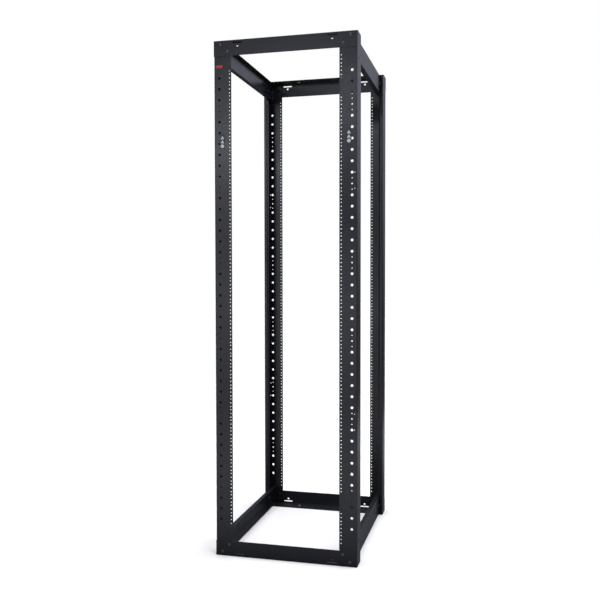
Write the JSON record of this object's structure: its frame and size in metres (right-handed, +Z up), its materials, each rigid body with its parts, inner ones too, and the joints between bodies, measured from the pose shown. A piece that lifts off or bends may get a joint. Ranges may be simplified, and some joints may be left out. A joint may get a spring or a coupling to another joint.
{
  "type": "open frame server rack",
  "caption": "Tall four-post open-frame rack for 19-inch equipment, with drilled folded-steel posts, bolted crossbars and side channels.",
  "frame": {"origin": "middle of the footprint on the floor", "axes": "+X to the right seen from the front, +Y from front to rear, +Z up"},
  "size_m": [0.597, 0.7878, 2.127],
  "materials": {
    "powder_coat": "fine-textured satin black powder coat",
    "black_screw": "black oxide button-head screws",
    "red_badge": "plain red gloss plate",
    "printed_label": "black film label with plain white shapes"
  },
  "bodies": {
    "root": {"front_badge": "red_badge", "front_bottom_crossbar": "powder_coat", "front_left_bottom_channel_screw": "black_screw", "front_left_bottom_corner_bracket": "powder_coat", "front_left_bottom_inner_screw": "black_screw", "front_left_bottom_outer_screw": "black_screw", "front_left_label": "printed_label", "front_left_post": "powder_coat", "front_left_top_channel_screw": "black_screw", "front_left_top_corner_bracket": "powder_coat", "front_left_top_inner_screw": "black_screw", "front_left_top_outer_screw": "black_screw", "front_right_bottom_channel_screw": "black_screw", "front_right_bottom_corner_bracket": "powder_coat", "front_right_bottom_inner_screw": "black_screw", "front_right_bottom_outer_screw": "black_screw", "front_right_label": "printed_label", "front_right_post": "powder_coat", "front_right_top_channel_screw": "black_screw", "front_right_top_corner_bracket": "powder_coat", "front_right_top_inner_screw": "black_screw", "front_right_top_outer_screw": "black_screw", "front_top_crossbar": "powder_coat", "left_bottom_side_channel": "powder_coat", "left_top_side_channel": "powder_coat", "rear_bottom_crossbar": "powder_coat", "rear_left_bottom_channel_screw": "black_screw", "rear_left_bottom_corner_bracket": "powder_coat", "rear_left_bottom_inner_screw": "black_screw", "rear_left_bottom_outer_screw": "black_screw", "rear_left_post": "powder_coat", "rear_left_top_channel_screw": "black_screw", "rear_left_top_corner_bracket": "powder_coat", "rear_left_top_inner_screw": "black_screw", "rear_left_top_outer_screw": "black_screw", "rear_right_bottom_channel_screw": "black_screw", "rear_right_bottom_corner_bracket": "powder_coat", "rear_right_bottom_inner_screw": "black_screw", "rear_right_bottom_outer_screw": "black_screw", "rear_right_post": "powder_coat", "rear_right_top_channel_screw": "black_screw", "rear_right_top_corner_bracket": "powder_coat", "rear_right_top_inner_screw": "black_screw", "rear_right_top_outer_screw": "black_screw", "rear_top_crossbar": "powder_coat", "right_bottom_side_channel": "powder_coat", "right_top_side_channel": "powder_coat"}
  },
  "joints": []
}
